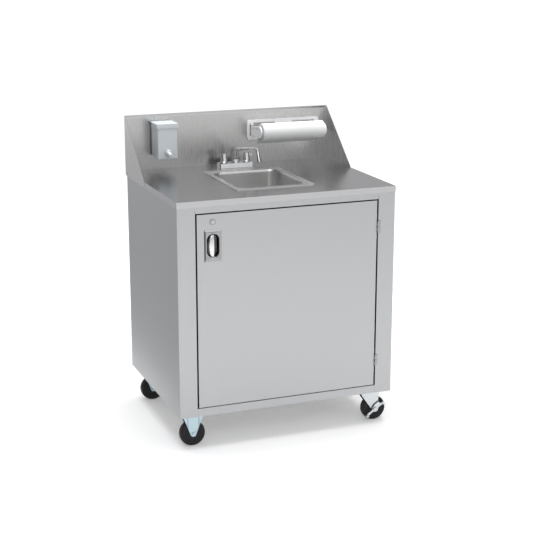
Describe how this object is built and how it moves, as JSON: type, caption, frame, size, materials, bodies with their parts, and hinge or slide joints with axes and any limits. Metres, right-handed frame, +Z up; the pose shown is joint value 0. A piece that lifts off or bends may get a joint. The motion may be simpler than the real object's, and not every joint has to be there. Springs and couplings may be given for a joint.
{
  "type": "portable handwash sink",
  "caption": "Stainless cabinet on casters with a drop-in bowl, two-handle faucet, splash guard, soap and paper towels, and water tanks behind a hinged door.",
  "frame": {"origin": "on the floor under the middle of the overall box", "axes": "+Z up, +X to the user's right, door and user on the -Y side"},
  "size_m": [0.924, 0.724, 1.241],
  "materials": {
    "stainless": "satin, fine vertical grain",
    "stainless_bright": "polished edge and drawn bowl",
    "chrome": "mirror chrome",
    "zinc": "bright zinc plate",
    "wheel_black": "hard black rubber",
    "white_plastic": "moulded, slightly glossy",
    "soap_plastic": "translucent milky",
    "paper": "embossed towel paper",
    "tank_plastic": "natural polyethylene",
    "cap_blue": "ribbed",
    "hose_clear": "braided clear hose",
    "heater_white": "enamel",
    "black_plastic": "moulded",
    "red_plastic": "moulded",
    "brass": "machined"
  },
  "bodies": {
    "cabinet": {"side_panel_left": "stainless", "side_panel_right": "stainless", "back_panel": "stainless", "base_pan": "stainless", "top_rail": "stainless", "bottom_rail": "stainless", "countertop": "stainless", "backsplash": "stainless", "splash_left": "stainless", "splash_right": "stainless", "panel_screws": "stainless_bright", "hinge_frame_leaves": "stainless_bright", "hinge_pins": "stainless_bright", "sink_bowl": "stainless_bright", "drain_body": "stainless_bright", "drain_hose": "tank_plastic", "faucet_body": "chrome", "faucet_nuts": "brass", "fresh_tank": "tank_plastic", "waste_tank": "tank_plastic", "tank_caps": "cap_blue", "pump": "black_plastic", "water_heater": "heater_white", "water_hoses": "hose_clear", "power_inlet": "black_plastic", "switch_box": "black_plastic", "soap_tank": "soap_plastic", "soap_valve": "white_plastic", "towel_bracket": "white_plastic", "paper_tail": "paper", "rigid_forks": "zinc", "caster_bolts": "zinc", "swivel_plates": "zinc"},
    "door": {"door_skin": "stainless", "door_liner": "stainless", "pull_handle": "stainless_bright", "lock_housing": "chrome", "hinge_door_leaves": "stainless_bright"},
    "lock": {"lock_plug": "chrome"},
    "strainer": {"strainer_basket": "stainless_bright"},
    "spout": {"spout": "chrome", "aerator": "chrome"},
    "hot_valve": {"hot_handle": "chrome"},
    "cold_valve": {"cold_handle": "chrome"},
    "rocker": {"rocker_switch": "red_plastic"},
    "lid": {"soap_lid": "soap_plastic"},
    "plunger": {"soap_plunger": "white_plastic"},
    "towel_arm_l": {"towel_arm_left": "white_plastic"},
    "towel_arm_r": {"towel_arm_right": "white_plastic"},
    "roll": {"paper_roll": "paper"},
    "wheel_front_left": {"front_left_wheel": "wheel_black"},
    "wheel_rear_left": {"rear_left_wheel": "wheel_black"},
    "fork_front_right": {"front_right_fork": "zinc", "front_right_axle": "zinc"},
    "wheel_front_right": {"front_right_wheel": "wheel_black"},
    "brake_front_right": {"front_right_brake": "zinc"},
    "fork_rear_right": {"rear_right_fork": "zinc", "rear_right_axle": "zinc"},
    "wheel_rear_right": {"rear_right_wheel": "wheel_black"},
    "brake_rear_right": {"rear_right_brake": "zinc"}
  },
  "joints": [
    {"name": "door_hinge", "type": "hinge", "parent": "cabinet", "child": "door", "pos_m": [0.384, -0.3565, 0.566], "axis": [0, 0, 1], "range_deg": [0, 120]},
    {"name": "lock_turn", "type": "hinge", "parent": "door", "child": "lock", "pos_m": [-0.3145, -0.34, 0.924], "axis": [0, -1, 0], "range_deg": [0, 90]},
    {"name": "strainer_lift", "type": "slide", "parent": "cabinet", "child": "strainer", "axis": [0, 0, 1], "range_m": [0, 0.06]},
    {"name": "spout_swivel", "type": "hinge", "parent": "cabinet", "child": "spout", "pos_m": [0, 0.2685, 1.04], "axis": [0, 0, 1], "range_deg": [-85, 50]},
    {"name": "hot_turn", "type": "hinge", "parent": "cabinet", "child": "hot_valve", "pos_m": [-0.051, 0.2685, 1.045], "axis": [0, 0, 1], "range_deg": [0, 90]},
    {"name": "cold_turn", "type": "hinge", "parent": "cabinet", "child": "cold_valve", "pos_m": [0.051, 0.2685, 1.045], "axis": [0, 0, -1], "range_deg": [0, 90]},
    {"name": "rocker_tilt", "type": "hinge", "parent": "cabinet", "child": "rocker", "pos_m": [0.365, 0.343, 0.759], "axis": [-1, 0, 0], "range_deg": [0, 16]},
    {"name": "lid_hinge", "type": "hinge", "parent": "cabinet", "child": "lid", "pos_m": [-0.306, 0.3435, 1.212], "axis": [-1, 0, 0], "range_deg": [0, 80]},
    {"name": "plunger_push", "type": "slide", "parent": "cabinet", "child": "plunger", "axis": [0, 0.9848, 0.1736], "range_m": [0, 0.008], "stiffness_N_per_m": 400},
    {"name": "towel_arm_left_swing", "type": "hinge", "parent": "cabinet", "child": "towel_arm_l", "pos_m": [0.103, 0.3365, 1.1515], "axis": [0, 0, -1], "range_deg": [0, 15], "stiffness_Nm_per_rad": 1},
    {"name": "towel_arm_right_swing", "type": "hinge", "parent": "cabinet", "child": "towel_arm_r", "pos_m": [0.401, 0.3365, 1.1515], "axis": [0, 0, 1], "range_deg": [0, 15], "stiffness_Nm_per_rad": 1},
    {"name": "roll_spin", "type": "hinge", "parent": "cabinet", "child": "roll", "pos_m": [0.252, 0.2415, 1.1545], "axis": [1, 0, 0], "continuous": true},
    {"name": "front_left_spin", "type": "hinge", "parent": "cabinet", "child": "wheel_front_left", "pos_m": [-0.388, -0.282, 0.052], "axis": [0, 1, 0], "continuous": true},
    {"name": "rear_left_spin", "type": "hinge", "parent": "cabinet", "child": "wheel_rear_left", "pos_m": [-0.388, 0.28, 0.052], "axis": [0, 1, 0], "continuous": true},
    {"name": "front_swivel", "type": "hinge", "parent": "cabinet", "child": "fork_front_right", "pos_m": [0.388, -0.282, 0.13], "axis": [0, 0, 1], "continuous": true},
    {"name": "front_right_spin", "type": "hinge", "parent": "fork_front_right", "child": "wheel_front_right", "pos_m": [0.41, -0.282, 0.052], "axis": [0, 1, 0], "continuous": true},
    {"name": "front_brake_tilt", "type": "hinge", "parent": "fork_front_right", "child": "brake_front_right", "pos_m": [0.41, -0.282, 0.052], "axis": [0, 1, 0], "range_deg": [0, 18]},
    {"name": "rear_swivel", "type": "hinge", "parent": "cabinet", "child": "fork_rear_right", "pos_m": [0.388, 0.28, 0.13], "axis": [0, 0, 1], "continuous": true},
    {"name": "rear_right_spin", "type": "hinge", "parent": "fork_rear_right", "child": "wheel_rear_right", "pos_m": [0.41, 0.28, 0.052], "axis": [0, 1, 0], "continuous": true},
    {"name": "rear_brake_tilt", "type": "hinge", "parent": "fork_rear_right", "child": "brake_rear_right", "pos_m": [0.41, 0.28, 0.052], "axis": [0, 1, 0], "range_deg": [0, 18]}
  ]
}
